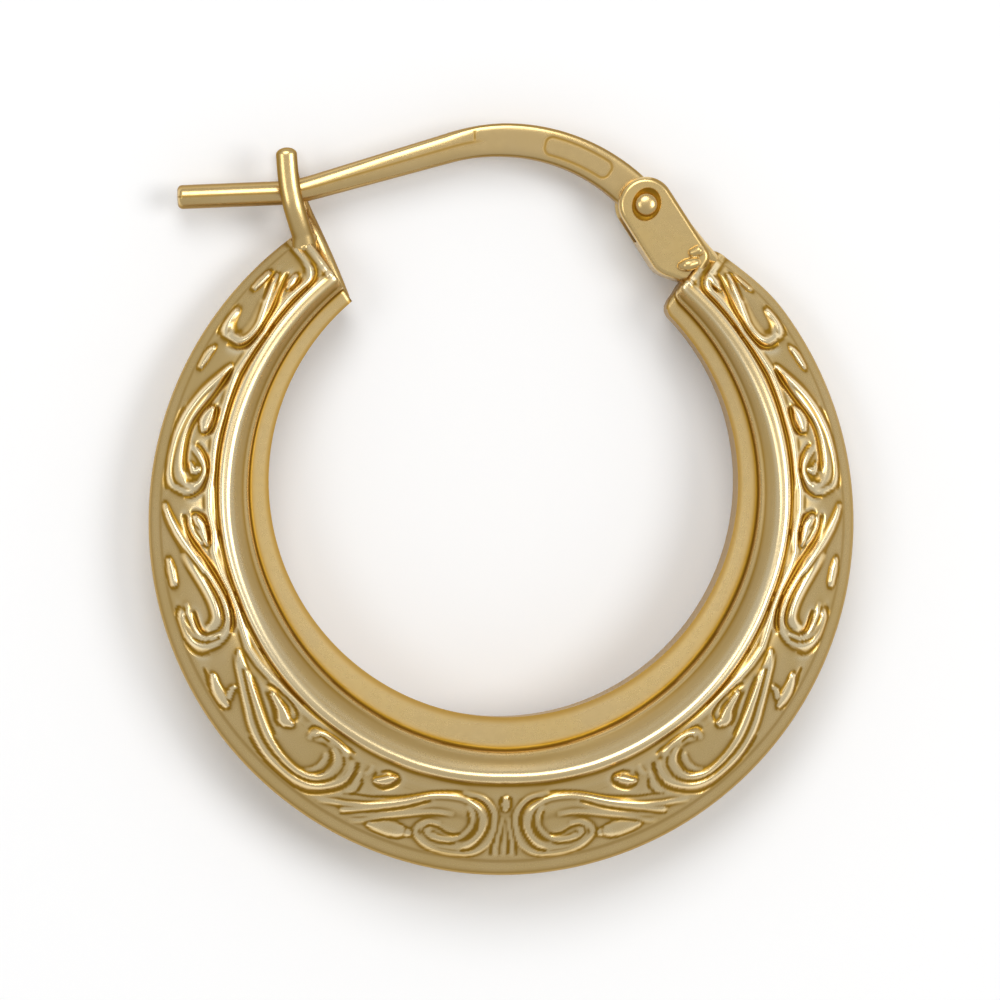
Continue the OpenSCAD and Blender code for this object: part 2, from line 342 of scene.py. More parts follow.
# The two stamped faces of the hoop, each a height field over a grid of rows and columns
hoopFace = {
    "catchEnd": 124.5,  # angles of the two ends
    "hingeEnd": 413.0,
    "columns": 862,
    "rows": 104,
    "fineSteps": 2001,
    # extra share of rows, and the places between which it starts and ends
    "finerRows": [(0.75, 0.07, 0.10, 0.66, 0.70), (0.6, 0.76, 0.78, 0.83, 0.86)],
    "softDome": (0.15, 0.22, 0.46, 0.53),  # places between which the section is softened more
    "crispSteps": 7,
    "domeSteps": 70,
    "domeEnd": 0.45,
    "beadHalf": 0.045,  # share of the band's width at the bottom
    "stepAt": 0.79,
    "stepReach": (0.012, 0.016),  # places before and after it
    "besideBead": 0.10,  # mm over which border, groove and end moulding fade in
    "endBead": 0.13,  # mm from the end to the crest of its moulding
    "endBeadLift": 0.06,
    "endDrop": 0.05,
    "endDropReach": 0.07,
    "cornerRound": 0.45,  # of the border, where it turns along the end
    "borderWidth": 0.16,
    "grooveBeside": 0.09,
    "lipRound": 0.34,  # inner corner at the hinge
    "lipFade": (0.55, 1.0),
    "shoulder": (397.0, 412.0),  # angles over which the outer edge drops at the hinge
    "shoulderDrop": 0.19,
    "shoulderFade": (0.0, 0.45),
    "sharperThan": 75,  # degrees between faces past which an edge is shaded sharp
}

relief = {
    "byAngle": [(0, 0.75), (38, 0.85), (65, 1.0)],  # angle from the bottom and share of the height
    "plainRim": (0.085, 0.12),  # places over which the ornament fades in
    "besideBorder": 0.12,
    "leafLift": 0.09,
    "leafSpread": 1.7,
    "crestScale": 1.1,
    "crestEnds": 6,  # steps over which a line rises from its ends
    "grooveScale": 0.85,
    "grooveWidth": 0.85,
    "grooveEnds": 4,
    "smoothing": 0.6,
    "search": 0.5,  # mm round a line
    "farAway": 1e3,
}

# Painted shade in hollows, along a line by the rim and at the inner edge, and painted highlight on raised
# crests, weaker towards the bottom
faceTones = {
    "broadHollow": (2.2, 2.0, 0.018, 0.8),  # rows and columns it is judged over, depth and tone
    "fineHollow": (1.3, 1.2, 0.006, 1.0),
    "outerEdge": (0.5, 0.02),  # share of the tone at the edge, and where it is full
    "rimLine": (0.62, 0.090, 0.011),  # tone, place and half width
    "innerLine": (0.8, 0.945, 0.985),  # tone, and where it starts and is full
    "highlightDepth": 0.014,
    "highlightBand": (0.11, 0.14, 0.67, 0.70),
    "highlightByAngle": [(0, 0.45), (38, 0.55), (65, 1.0)],
}

# Section of a face from the outer edge to the opening: place across, share of the half depth
faceSection = [
    (0.000, 0.08), (0.012, 0.112), (0.030, 0.146), (0.050, 0.182), (0.070, 0.218), (0.090, 0.252),
    (0.110, 0.288), (0.130, 0.325), (0.200, 0.450), (0.310, 0.625), (0.420, 0.76), (0.500, 0.83),
    (0.560, 0.864), (0.580, 0.874), (0.588, 0.902), (0.595, 0.938), (0.600, 0.961), (0.604, 0.973),
    (0.612, 0.983), (0.620, 0.992), (0.628, 0.998), (0.634, 1.0), (0.640, 0.997), (0.648, 0.991),
    (0.656, 0.983), (0.662, 0.975), (0.670, 0.957), (0.680, 0.933), (0.692, 0.903), (0.706, 0.869),
    (0.720, 0.837), (0.735, 0.805), (0.750, 0.775), (0.765, 0.747), (0.779, 0.722), (0.784, 0.700),
    (0.790, 0.640), (0.797, 0.590), (0.806, 0.566), (0.830, 0.560), (0.900, 0.552), (0.955, 0.545),
    (1.000, 0.540),
]

# Where the thin border, the groove beside it and the bead run, by angle from the bottom
borderCrest = [
    (0, 0.552), (38, 0.553), (46, 0.548), (50, 0.550), (56, 0.535), (60, 0.518), (64, 0.512),
    (68, 0.540), (72, 0.562), (76, 0.560), (80, 0.533), (84, 0.512), (88, 0.532), (92, 0.505),
    (96, 0.500), (100, 0.524), (103, 0.512), (106, 0.500), (110, 0.514), (114, 0.502), (119, 0.482),
    (124, 0.508), (128, 0.526), (130, 0.512), (136, 0.492), (141, 0.515), (146, 0.53),
]
borderHeight = [(0, 0.0), (36, 0.0), (46, 0.05), (56, 0.075), (146, 0.085)]
grooveCentre = [
    (0, 0.592), (20, 0.590), (45, 0.586), (60, 0.585), (74, 0.605), (80, 0.595), (90, 0.582), (100, 0.566),
    (110, 0.556), (119, 0.546), (128, 0.566), (140, 0.560), (146, 0.560),
]
grooveDepth = [(0, 0.02), (30, 0.03), (46, 0.05), (60, 0.07), (146, 0.08)]
beadCentre = [(0, 0.620), (20, 0.618), (45, 0.630), (74, 0.650), (90, 0.642), (110, 0.640), (146, 0.645)]
stepCentre = [(0, 0.782), (20, 0.79), (45, 0.805), (70, 0.82), (146, 0.82)]

# Raised lines of one half face: height, half width, then angle from the bottom and place across
crestLines = [
    (0.050, 0.12, [(27.5, .115), (25, .170), (23.5, .208), (22, .243), (20, .280), (18, .312), (16, .340),
                   (14, .360), (12, .368), (10, .366)]),
    (0.060, 0.12, [(34, .135), (31.5, .178), (29.5, .205), (28, .230), (26, .262), (24, .300), (22, .336),
                   (20, .372), (18, .411), (16, .445), (13, .470), (10, .476), (8, .466), (6.3, .440),
                   (5, .405), (4.4, .360), (4.3, .310), (4.8, .250), (5.8, .205), (7.2, .172)]),
    (0.060, 0.12, [(9, .512), (5, .488), (3.3, .450), (2.2, .400), (1.95, .340), (2.1, .280), (2.7, .220),
                   (3.8, .172), (5.3, .138), (7.5, .118), (10, .112), (12.5, .126), (14.6, .156),
                   (15.9, .200), (15.8, .250), (14.4, .288), (12, .296)]),
    (0.050, 0.11, [(13.3, .222), (12, .203), (10.5, .203), (9, .213), (7.8, .235), (6.9, .270),
                   (6.3, .310), (6.3, .360), (6.8, .410), (7.8, .440)]),
    (0.062, 0.12, [(64, .420), (62, .386), (60, .358), (58, .328), (56, .296), (54, .264), (52, .226),
                   (50, .196), (48, .171), (46, .156), (44, .150), (42, .148), (40, .150), (38, .163),
                   (36, .190), (34.5, .225), (33.3, .270), (32.3, .320), (31.9, .370), (32.1, .430),
                   (32.9, .478)]),
    (0.058, 0.12, [(60, .425), (58, .398), (56, .370), (54, .344), (52, .315), (50, .285), (48, .258),
                   (46, .236), (44, .220), (42, .211), (40, .210), (38.5, .220), (37, .245), (36, .275),
                   (35.3, .310), (35.0, .350), (35.0, .390), (35.4, .425), (36.2, .455), (37.4, .477)]),
    (0.045, 0.10, [(38.9, .245), (37.9, .280), (37.4, .320), (37.3, .360), (37.5, .400), (38.0, .425)]),
    (0.060, 0.12, [(42.0, .425), (42.4, .465), (41.5, .503), (39.5, .524), (37.2, .522), (35.2, .505),
                   (33.8, .480)]),
    (0.035, 0.10, [(30.3, .260), (29.8, .310), (29.7, .350), (30.0, .400), (30.2, .440)]),
    (0.035, 0.10, [(29.2, .430), (28.6, .470), (28.7, .520)]),
    (0.070, 0.13, [(93, .130), (91, .160), (89.5, .190), (88, .226), (86.5, .268), (85, .312), (83.5, .352),
                   (82, .388), (80.5, .421), (79, .450), (77, .476), (75, .491), (73, .492), (71, .480),
                   (69.5, .456), (68.4, .425), (67.6, .380), (67.1, .320), (67.1, .260), (67.5, .210),
                   (68.5, .165), (70, .135), (71.6, .120), (73.2, .126), (74.3, .150)]),
    (0.070, 0.17, [(84.5, .268), (82, .312), (80, .345), (78, .374), (76, .394), (74, .402), (72, .392),
                   (70.9, .362), (70.2, .322), (70.0, .290)]),
    (0.045, 0.10, [(75.8, .213), (73.5, .210), (71.5, .214), (70, .230), (68.9, .265), (68.5, .320),
                   (68.7, .375)]),
    (0.075, 0.13, [(119.2, .402), (117.5, .366), (116, .330), (114.5, .293), (113, .258), (111.5, .230),
                   (110, .204), (108.5, .181), (107, .165), (105, .148), (103, .140), (101, .136),
                   (99, .141), (97.5, .158), (96.3, .192), (95.8, .240), (95.4, .285), (95.2, .330),
                   (95.5, .380)]),
    (0.060, 0.12, [(103.7, .300), (102.9, .355), (101.9, .405), (100.6, .445), (99.3, .455), (98.0, .440),
                   (96.9, .405), (96.4, .360)]),
    (0.070, 0.13, [(137.2, .225), (136, .258), (134.5, .300), (133, .337), (131.5, .375), (130, .408),
                   (128.8, .428), (127.3, .432), (125.8, .418), (124.8, .390), (124.2, .350), (124.0, .300),
                   (124.0, .250), (123.9, .205), (124.5, .168), (125.6, .147), (127.1, .141), (128.5, .155)]),
    (0.050, 0.10, [(1.3, .120), (1.5, .170), (1.3, .230), (0.9, .300), (0.6, .370)]),
    (0.040, 0.09, [(0.0, .120), (0.0, .180), (0.0, .260), (0.0, .340)]),
]

# Sunk lines of one half face: depth, half width, then angle from the bottom and place across
grooveLines = [
    (0.095, 0.11, [(29.5, .135), (28, .165), (26.5, .200), (24.5, .240), (22.5, .280), (20.5, .317),
                   (18.5, .355), (16.5, .396), (14.8, .424)]),
    (0.090, 0.11, [(7.6, .140), (6, .155), (4.9, .190), (3.9, .240), (3.2, .295), (2.95, .350),
                   (3.3, .400), (4.1, .440), (5.5, .470), (7.3, .487)]),
    (0.060, 0.10, [(8.5, .186), (10, .173), (12, .171), (13.6, .186), (14.6, .215), (14.5, .250),
                   (13.5, .270), (12, .262), (10.8, .246), (9.3, .240), (8, .252)]),
    (0.045, 0.08, [(6.9, .345), (7.3, .380), (7.5, .402)]),
    (0.050, 0.11, [(31, .255), (29, .290), (26, .325), (24, .356), (22, .382), (20.5, .402), (18, .440),
                   (15, .485), (12, .508), (9, .520)]),
    (0.060, 0.10, [(20.4, .125), (18.9, .130), (17.9, .155), (17.7, .190), (18.2, .215)]),
    (0.050, 0.09, [(2.3, .120), (2.1, .180), (1.8, .240)]),
    (0.050, 0.08, [(0.7, .130), (0.8, .180), (0.7, .240)]),
    (0.060, 0.08, [(0.9, .430), (1.2, .470), (0.9, .505)]),
    (0.100, 0.14, [(50, .160), (48, .140), (46, .122), (44, .110), (42, .106), (40, .106), (38, .116),
                   (36, .140), (34.6, .175), (33.5, .210), (32.3, .250), (31.3, .300), (30.9, .360),
                   (31.0, .430), (31.6, .490)]),
    (0.070, 0.11, [(61, .407), (60, .391), (58, .363), (56, .333), (54, .303), (52, .270), (50, .240),
                   (48, .214), (46, .197), (44, .186), (42, .180), (40, .180), (38, .190), (36.5, .212),
                   (35.3, .245), (34.3, .285), (33.7, .330), (33.5, .380), (33.8, .430), (34.8, .470)]),
    (0.055, 0.13, [(58.5, .435), (56, .412), (54, .388), (52, .360), (50, .332), (48.5, .310), (47, .290)]),
    (0.070, 0.09, [(37.1, .262), (36.3, .300), (36.1, .340), (36.2, .380), (36.7, .425), (37.8, .455)]),
    (0.060, 0.09, [(41.2, .455), (41.0, .488), (39.8, .500), (38.6, .492)]),
    (0.070, 0.11, [(43.6, .470), (43.2, .515), (41.6, .545), (39.3, .556), (37, .556), (34.8, .545),
                   (32.9, .520)]),
    (0.055, 0.09, [(29.4, .275), (28.7, .325), (28.7, .370), (29.3, .405)]),
    (0.050, 0.09, [(27.6, .440), (27.3, .490)]),
    (0.080, 0.11, [(27.0, .410), (25.2, .397), (23.8, .420), (22.8, .455), (22.4, .490), (23.2, .518),
                   (25, .522), (26.8, .495)]),
    (0.080, 0.11, [(56, .480), (54.5, .510), (53, .524), (51, .530), (49, .520), (47.2, .495),
                   (46.6, .450)]),
    (0.055, 0.09, [(51.5, .497), (49.5, .490), (48.3, .465)]),
    (0.050, 0.11, [(55, .440), (53, .425), (51, .395), (49.4, .358), (47.8, .342)]),
    (0.070, 0.11, [(64.2, .160), (62.6, .148), (61, .126), (59, .112), (57, .116), (55.8, .140)]),
    (0.110, 0.12, [(80.5, .405), (78, .432), (76, .450), (74, .457), (72, .450), (70.5, .430),
                   (69.6, .395), (69.1, .350), (69.1, .300), (69.5, .266), (70.5, .250), (72.5, .250),
                   (74.2, .256)]),
    (0.120, 0.13, [(91.5, .300), (90, .312), (88, .334), (86, .368), (84.5, .406), (83, .440),
                   (81, .473), (79, .501), (77, .521), (75, .532), (73, .532), (71, .517),
                   (69.3, .490), (68.0, .455)]),
    (0.070, 0.08, [(69.6, .170), (68.6, .210), (68.0, .260), (67.75, .320), (67.95, .365)]),
    (0.080, 0.11, [(75.5, .165), (74.8, .125), (73, .098), (70.5, .098), (68.4, .122), (67, .152),
                   (66.3, .190), (66.0, .250)]),
    (0.050, 0.10, [(75.0, .186), (73.2, .180), (71.6, .182)]),
    (0.055, 0.10, [(83.6, .115), (81.5, .108), (79.4, .110)]),
    (0.110, 0.12, [(91.4, .360), (91.7, .400), (91.2, .450), (90, .481), (88, .495), (86.2, .492),
                   (84.9, .480)]),
    (0.050, 0.08, [(90.2, .365), (89.0, .400), (88.2, .425)]),
    (0.060, 0.12, [(110, .155), (108, .130), (105, .108), (102, .102), (99, .105), (96.8, .118),
                   (95.3, .150)]),
    (0.110, 0.15, [(119.5, .436), (117, .425), (115, .404), (113, .376), (111.3, .345), (109.7, .312),
                   (108.2, .286), (106.5, .268), (104.5, .262), (102.5, .266), (100.5, .277),
                   (98.8, .300)]),
    (0.110, 0.11, [(104.2, .350), (103.6, .400), (102.4, .450), (100.8, .485), (99, .492), (97.4, .476),
                   (96.0, .445), (95.1, .405), (94.6, .360), (94.6, .300)]),
    (0.060, 0.08, [(97.4, .300), (97.2, .340), (97.8, .370)]),
    (0.100, 0.11, [(111.8, .430), (111.2, .455), (109.8, .467), (108.2, .466), (107, .445),
                   (106.4, .415), (106.5, .370)]),
    (0.055, 0.10, [(121, .130), (119.3, .106), (117.3, .105)]),
    (0.110, 0.13, [(139.2, .300), (138, .318), (136.8, .350), (135.4, .388), (134, .421), (132.5, .451),
                   (131, .474), (129, .487), (127, .486), (125.4, .470), (124.2, .442), (123.3, .400),
                   (122.9, .340), (122.9, .270)]),
    (0.060, 0.11, [(138, .185), (136.4, .210), (135, .242), (133.8, .275), (132.6, .310)]),
    (0.060, 0.10, [(129.5, .130), (128, .110), (126, .104), (124.2, .112), (123.0, .150)]),
    (0.060, 0.10, [(137, .092), (135, .084), (133, .092)]),
    (0.080, 0.10, [(140.4, .420), (139.4, .447), (138, .452), (136.9, .440)]),
]

# Drops and seeds: height, then angle, place and half width along each one
seedDrops = [
    (0.10, [(17.3, .185, .10), (19.0, .178, .20), (21.3, .172, .21), (24.0, .150, .08)]),
    (0.13, [(26.6, .428, .06), (25.4, .448, .11), (24.2, .474, .11), (23.4, .495, .05)]),
    (0.12, [(46.9, .420, .10), (48.2, .410, .17), (50.2, .445, .12), (53.5, .470, .08)]),
    (0.11, [(56.6, .158, .09), (58.0, .158, .16), (59.8, .165, .15), (62.0, .190, .08)]),
    (0.07, [(57.6, .205, .10), (58.3, .245, .07), (58.5, .285, .04)]),
    (0.12, [(79.4, .155, .10), (80.6, .153, .12), (82.0, .150, .12), (83.4, .146, .07)]),
    (0.13, [(90.6, .400, .10), (89.2, .428, .17), (87.4, .452, .13), (85.6, .470, .06)]),
    (0.08, [(90.6, .345, .06), (88.9, .350, .09), (87.3, .385, .09), (86.0, .425, .07)]),
    (0.14, [(107.2, .385, .12), (108.5, .375, .17), (110.0, .385, .16), (111.2, .410, .07)]),
    (0.11, [(100.3, .330, .05), (99.3, .360, .10), (99.6, .400, .08)]),
    (0.11, [(117.2, .142, .08), (118.6, .142, .12), (120.0, .155, .10), (121.0, .175, .05)]),
    (0.12, [(133.3, .142, .09), (134.8, .140, .12), (136.4, .145, .09)]),
    (0.11, [(137.2, .412, .06), (138.3, .398, .11), (139.5, .378, .08)]),
    (0.10, [(0.0, .425, .08), (0.0, .450, .12), (0.0, .490, .06)]),
]

# Broad raised leaf under each scroll: angle, place and half width
leafLines = [
    [(29.0, .165, .10), (24.5, .245, .16), (20.0, .335, .21), (16.0, .405, .24), (12.0, .430, .24),
     (8.0, .425, .22), (5.2, .380, .20), (4.0, .310, .19), (4.8, .235, .19), (7.2, .170, .19),
     (10.3, .160, .20), (13.6, .190, .18), (14.4, .235, .15)],
    [(64.0, .440, .05), (60.0, .395, .11), (56.0, .340, .16), (52.0, .275, .19), (48.0, .218, .20),
     (44.0, .186, .20), (40.0, .180, .20), (37.0, .208, .21), (34.6, .270, .21), (33.6, .340, .20),
     (33.9, .420, .19), (36.0, .480, .15), (39.0, .505, .13), (41.2, .480, .11)],
    [(92.6, .138, .06), (88.5, .235, .10), (84.5, .325, .16), (81.0, .390, .20), (77.5, .430, .21),
     (74.0, .445, .21), (71.0, .420, .19), (69.0, .360, .17), (68.3, .280, .16), (69.0, .205, .16),
     (71.0, .165, .15), (73.8, .168, .13)],
    [(119.4, .410, .06), (116.0, .350, .13), (112.0, .275, .19), (108.0, .220, .20), (104.0, .195, .20),
     (100.6, .200, .19), (98.0, .235, .17), (96.6, .300, .14), (96.4, .365, .13)],
    [(137.3, .225, .05), (134.5, .305, .12), (131.5, .380, .16), (129.0, .415, .17), (126.8, .415, .17),
     (125.2, .380, .15), (124.5, .315, .13), (124.6, .250, .12), (125.8, .180, .12), (128.3, .160, .08)],
]


def tableAt(value, table):
    return np.interp(value, *np.array(table).T)


def onPlan(fromBottom, across):
    angle = np.radians(bottomAngle + fromBottom)
    far = reach(angle, across)
    return np.stack([far * np.cos(angle), far * np.sin(angle)], axis=-1)


# The lines are given as the photo shows them. The further a spot stands out, the more the view
# from the left has moved it, and that is taken off here.
def seenStraight(line):
    line = np.array(line, float)
    angle = np.radians(bottomAngle + line[:, 0])
    height = tableAt(line[:, 1], faceSection) * halfDepth(angle)
    aside = math.tan(math.radians(lying["seenFromLeft"])) * height * np.sin(np.radians(line[:, 0]))
    line[:, 1] -= aside / bandWidth(angle)
    return line


def smoothLine(line, steps=5):  # a curve through all the points
    line = np.array(line, float)
    padded = np.vstack([2 * line[0] - line[1], line, 2 * line[-1] - line[-2]])
    share = np.linspace(0, 1, steps, endpoint=False)[:, None]
    made = []
    for before, first, second, after in zip(padded, padded[1:], padded[2:], padded[3:]):
        made.append(0.5 * (2 * first + (second - before) * share
                           + (2 * before - 5 * first + 4 * second - after) * share ** 2
                           + (3 * first - before - 3 * second + after) * share ** 3))
    return np.vstack(made + [line[-1:]])


# Distance of each spot to a line of the face, and how many steps along it the nearest point lies.
# Spots further off than the search reaches are left out.
def nearLine(spots, line):
    plan = onPlan(line[:, 0], line[:, 1])
    low = plan.min(0) - relief["search"]
    high = plan.max(0) + relief["search"]
    inside = np.all((spots > low) & (spots < high), axis=1)
    distance = np.full(len(spots), relief["farAway"])
    along = np.zeros(len(spots))
    close = spots[inside]
    best = np.full(len(close), relief["farAway"])
    bestAlong = np.zeros(len(close))
    for index, (start, end) in enumerate(zip(plan, plan[1:])):
        step = end - start
        share = np.clip((close - start) @ step / max(step @ step, 1e-12), 0, 1)
        away = np.linalg.norm(close - start - share[:, None] * step, axis=1)
        nearer = away < best
        best[nearer] = away[nearer]
        bestAlong[nearer] = index + share[nearer]
    distance[inside] = best
    along[inside] = bestAlong
    return distance, along


def rounded(share):
    return np.where(share < 1, 0.5 + 0.5 * np.cos(np.pi * np.minimum(share, 1)), 0)


# Height of a line with a fixed half width, lower towards both its ends
def evenLine(spots, height, width, line, ends):
    fine = smoothLine(seenStraight(line))
    away, along = nearLine(spots, fine)
    toEnd = np.minimum(along, len(fine) - 1 - along)
    return height * np.clip(toEnd / ends, 0, 1) ** 0.5 * rounded(away / width)


# Distance to a line that has its own half width at each point, as a share of that width
def shareOfWidth(spots, line):
    fine = smoothLine(seenStraight(line))
    away, along = nearLine(spots, fine)
    return away / np.interp(along, np.arange(len(fine)), fine[:, 2])


def reliefHeight(spots):
    lift = np.zeros(len(spots))
    crest = np.zeros(len(spots))
    groove = np.zeros(len(spots))
    for line in leafLines:
        share = shareOfWidth(spots, line) / relief["leafSpread"]
        lift = np.maximum(lift, relief["leafLift"] * rounded(share))
    for height, line in seedDrops:
        share = shareOfWidth(spots, line)
        lift = np.maximum(lift, height * np.sqrt(np.clip(1 - share ** 2, 0, 1)))
    for height, width, line in crestLines:
        height = height * relief["crestScale"]
        crest = np.maximum(crest, evenLine(spots, height, width, line, relief["crestEnds"]))
    for depth, width, line in grooveLines:
        depth = depth * relief["grooveScale"]
        width = width * relief["grooveWidth"]
        groove = np.maximum(groove, evenLine(spots, depth, width, line, relief["grooveEnds"]))
    return lift + crest - groove


def softened(values, sigma, axis):
    radius = int(3 * sigma) + 1
    kernel = np.exp(-0.5 * (np.arange(-radius, radius + 1) / sigma) ** 2)
    kernel /= kernel.sum()
    padding = [(radius, radius) if i == axis else (0, 0) for i in range(values.ndim)]
    return np.apply_along_axis(lambda row: np.convolve(row, kernel, "valid"), axis,
                               np.pad(values, padding, mode="edge"))


def softMinimum(first, second, reach):
    share = np.clip(0.5 + 0.5 * (first - second) / reach, 0, 1)
    return first * (1 - share) + second * share - reach * share * (1 - share)


def crossPlaces():
    fine = np.linspace(0, 1, hoopFace["fineSteps"])
    density = 1.0 + sum(extra * hump(*ends, fine) for extra, *ends in hoopFace["finerRows"])
    total = np.cumsum(density)
    total = (total - total[0]) / (total[-1] - total[0])
    return np.interp(np.linspace(0, 1, hoopFace["rows"]), total, fine)


def faceGrid():
    degrees = np.linspace(hoopFace["catchEnd"], hoopFace["hingeEnd"], hoopFace["columns"])[None, :]
    angle = np.radians(degrees)
    place = crossPlaces()[:, None]
    width = bandWidth(angle)
    lip = hoopFace["lipRound"]
    toLip = np.minimum(openingReach(angle) * np.radians(hoopFace["hingeEnd"] - degrees), lip)
    inset = (lip - np.sqrt(lip ** 2 - (lip - toLip) ** 2)) / width
    droop = hoopFace["shoulderDrop"] * smoothStep(*hoopFace["shoulder"], degrees) / width
    spread = (place * (1 - inset * smoothStep(*hoopFace["lipFade"], place))
              + (inset + droop) * (1 - smoothStep(*hoopFace["shoulderFade"], place)))
    far = reach(angle, spread)
    toEnd = np.minimum(degrees - hoopFace["catchEnd"], hoopFace["hingeEnd"] - degrees)
    return {
        "angle": angle,
        "fromBottom": np.abs(degrees - bottomAngle),
        "place": place,
        "width": width,
        "far": far,
        "toEnd": far * np.sin(np.radians(np.minimum(90, toEnd))),
    }


# Height of the plain section, with its bead and step moved to where they run at each angle
def sectionHeight(grid):
    fine = np.linspace(0, 1, hoopFace["fineSteps"])
    straight = tableAt(fine, faceSection)
    soft = hump(*hoopFace["softDome"], fine)
    heights = (softened(straight, hoopFace["crispSteps"], 0) * (1 - soft)
               + softened(straight, hoopFace["domeSteps"], 0) * soft)
    bead = tableAt(grid["fromBottom"], seenStraight(beadCentre))
    step = tableAt(grid["fromBottom"], stepCentre)
    wider = bottomWidth / grid["width"]
    domeEnd, beadAt, stepAt = hoopFace["domeEnd"], lying["beadAcross"], hoopFace["stepAt"]
    beadHalf = hoopFace["beadHalf"]
    before, after = hoopFace["stepReach"]
    drawn = [0, domeEnd, beadAt - beadHalf, beadAt, beadAt + beadHalf, stepAt - before, stepAt + after, 1]
    moved = np.empty_like(grid["far"])
    for column, (middle, drop, grow) in enumerate(zip(bead[0], step[0], wider[0])):
        real = [0, domeEnd, middle - beadHalf * grow, middle, middle + beadHalf * grow,
                drop - before, drop + after, 1]
        moved[:, column] = np.interp(grid["place"][:, 0], real, drawn)
    return np.interp(moved, fine, heights) * halfDepth(grid["angle"])


def faceRelief(grid):
    fromBottom, width = grid["fromBottom"], grid["width"]
    turn = np.radians(fromBottom)
    folded = np.stack([grid["far"] * np.sin(turn), -grid["far"] * np.cos(turn)], axis=-1)
    raised = reliefHeight(folded.reshape(-1, 2)).reshape(grid["far"].shape)
    raised = raised * tableAt(fromBottom, relief["byAngle"])
    bead = tableAt(fromBottom, seenStraight(beadCentre))
    fromBead = (bead - grid["place"]) * width  # outwards
    fromEndBead = grid["toEnd"] - hoopFace["endBead"]
    fromFrame = softMinimum(fromEndBead, fromBead, hoopFace["cornerRound"])
    fromBorder = fromFrame - (bead - tableAt(fromBottom, seenStraight(borderCrest))) * width
    fromGroove = fromFrame - (bead - tableAt(fromBottom, seenStraight(grooveCentre))) * width
    raised = raised * smoothStep(0.0, relief["besideBorder"], fromBorder)
    raised = raised * smoothStep(*relief["plainRim"], grid["place"])
    border = tableAt(fromBottom, borderHeight) * rounded(np.abs(fromBorder) / hoopFace["borderWidth"])
    groove = tableAt(fromBottom, grooveDepth) * rounded(np.abs(fromGroove) / hoopFace["grooveBeside"])
    endBead = hoopFace["endBeadLift"] * rounded(np.abs(fromEndBead) / hoopFace["endBead"])
    outside = smoothStep(0.0, hoopFace["besideBead"], fromBead)
    endDrop = hoopFace["endDrop"] * (1 - smoothStep(0.0, hoopFace["endDropReach"], grid["toEnd"]))
    raised = raised + outside * (border - groove + endBead) - endDrop
    return softened(softened(raised, relief["smoothing"], 0), relief["smoothing"], 1)


# Painted shade: the further a spot lies below the blurred surface round it, the darker
def hollowTone(height, name):
    rows, columns, depth, tone = faceTones[name]
    hollow = softened(softened(height, rows, 0), columns, 1) - height
    return hollow, tone * np.clip(hollow / depth, 0, 1)


# Painted shade in hollows, along a line by the rim and at the inner edge, less near the outer edge; and
# painted highlight on raised crests from the ornament to the bead, weaker towards the bottom
def faceTone(grid, height):
    place = grid["place"]
    hollow, broad = hollowTone(height, "broadHollow")
    fine = hollowTone(height, "fineHollow")[1]
    edgeShare, edgeReach = faceTones["outerEdge"]
    fromEdge = edgeShare + (1 - edgeShare) * smoothStep(0.0, edgeReach, place)
    rimTone, rimPlace, rimWidth = faceTones["rimLine"]
    innerTone, *innerEnds = faceTones["innerLine"]
    lines = rimTone * bell(place - rimPlace, rimWidth) + innerTone * smoothStep(*innerEnds, place)
    dark = np.maximum(np.maximum(broad, fine) * fromEdge, lines)
    paintedHighlight = np.clip(-hollow / faceTones["highlightDepth"], 0, 1) * hump(*faceTones["highlightBand"], place)
    return dark, paintedHighlight * tableAt(grid["fromBottom"], faceTones["highlightByAngle"])


def mergeAndCap(piece):
    onlySelected(piece)
    bpy.ops.object.mode_set(mode="EDIT")
    bpy.ops.mesh.select_all(action="SELECT")
    bpy.ops.mesh.remove_doubles(threshold=1e-5)
    bpy.ops.mesh.select_all(action="DESELECT")
    bpy.ops.mesh.select_mode(type="EDGE")
    bpy.ops.mesh.select_non_manifold(extend=False)
    bpy.ops.mesh.fill_holes(sides=0)
    bpy.ops.mesh.select_all(action="SELECT")
    bpy.ops.mesh.normals_make_consistent(inside=False)
    bpy.ops.object.mode_set(mode="OBJECT")


def makeHoopFaces():
    grid = faceGrid()
    height = sectionHeight(grid) + faceRelief(grid)
    dark, paintedHighlight = faceTone(grid, height)
    x = grid["far"] * np.cos(grid["angle"])
    y = grid["far"] * np.sin(grid["angle"])
    top = np.stack([x, y, height], axis=-1)
    walls = top[[-1, 0]] * np.array([1, 1, 0])  # both edges, down at mid depth
    rows = np.concatenate([top, walls, top[:1]])
    for name, side in (("hoop_front", 1), ("hoop_back", -1)):
        piece = sheetOfPoints(name, rows * np.array([1, 1, side]))
        # the groove tone carries the painted shade, the ridge tone the painted highlight
        for toneName, tone in (("groove", dark), ("ridge", paintedHighlight)):
            addTone(piece, toneName, np.concatenate([tone, tone[[-1, 0, 0]]]))
        mergeAndCap(piece)
        layDown(piece, "hoop", castGold, hoopFace["sharperThan"])
        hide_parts("hoop")


makeHoopFaces()
print("hoop faces made")


